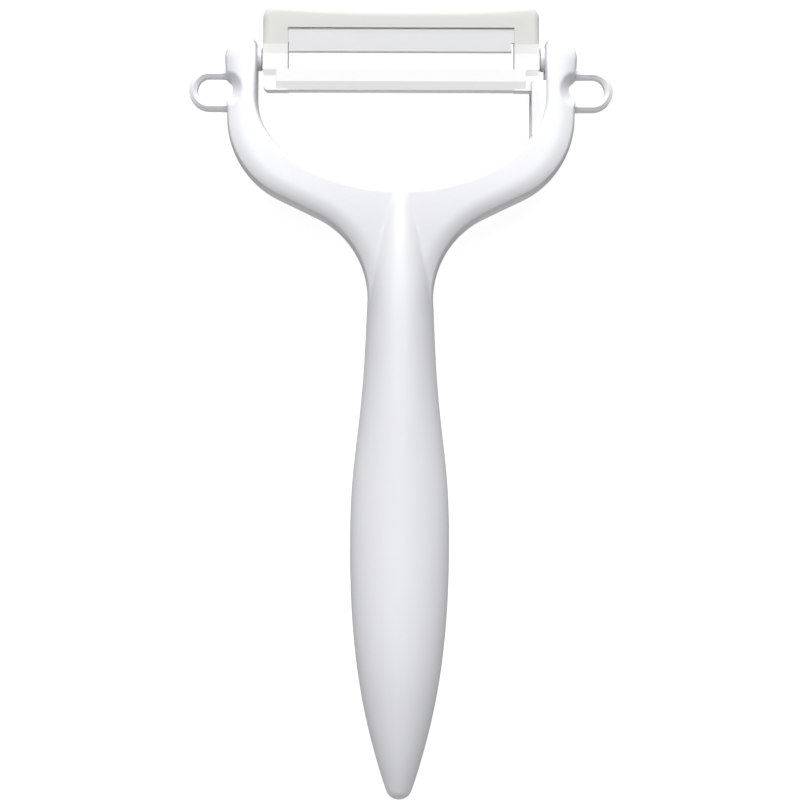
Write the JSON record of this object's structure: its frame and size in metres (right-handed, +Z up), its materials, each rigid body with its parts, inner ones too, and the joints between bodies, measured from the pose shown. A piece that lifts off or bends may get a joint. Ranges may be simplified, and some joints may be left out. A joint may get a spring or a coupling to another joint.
{
  "type": "y peeler",
  "caption": "Hand peeler with a round tapering grip, a forked yoke and a swivelling head that holds a flat ceramic blade, with an eye loop on each arm.",
  "frame": {"origin": "centre of the footprint on the table that the peeler lies on, front face up", "axes": "+X across the head, +Y from the grip's tip to the head, +Z up out of the front face"},
  "size_m": [0.075, 0.14, 0.0143],
  "materials": {
    "handle_resin": "glossy moulded ABS, cool white",
    "pin_resin": "smooth moulded acetal, white",
    "carrier_resin": "smooth moulded plastic, neutral white",
    "cover_resin": "satin moulded plastic, warm white",
    "blade_ceramic": "fine-ground zirconia, pale grey white"
  },
  "bodies": {
    "handle": {"handle_body": "handle_resin", "handle_back_cover": "handle_resin", "left_pivot_pin": "pin_resin", "right_pivot_pin": "pin_resin"},
    "head": {"blade_carrier": "carrier_resin", "blade_cover": "cover_resin", "ceramic_blade": "blade_ceramic"}
  },
  "joints": [
    {"name": "head_swivel", "type": "hinge", "parent": "handle", "child": "head", "pos_m": [0, 0.06063, 0.00454], "axis": [1, 0, 0], "range_deg": [0, 22]}
  ]
}
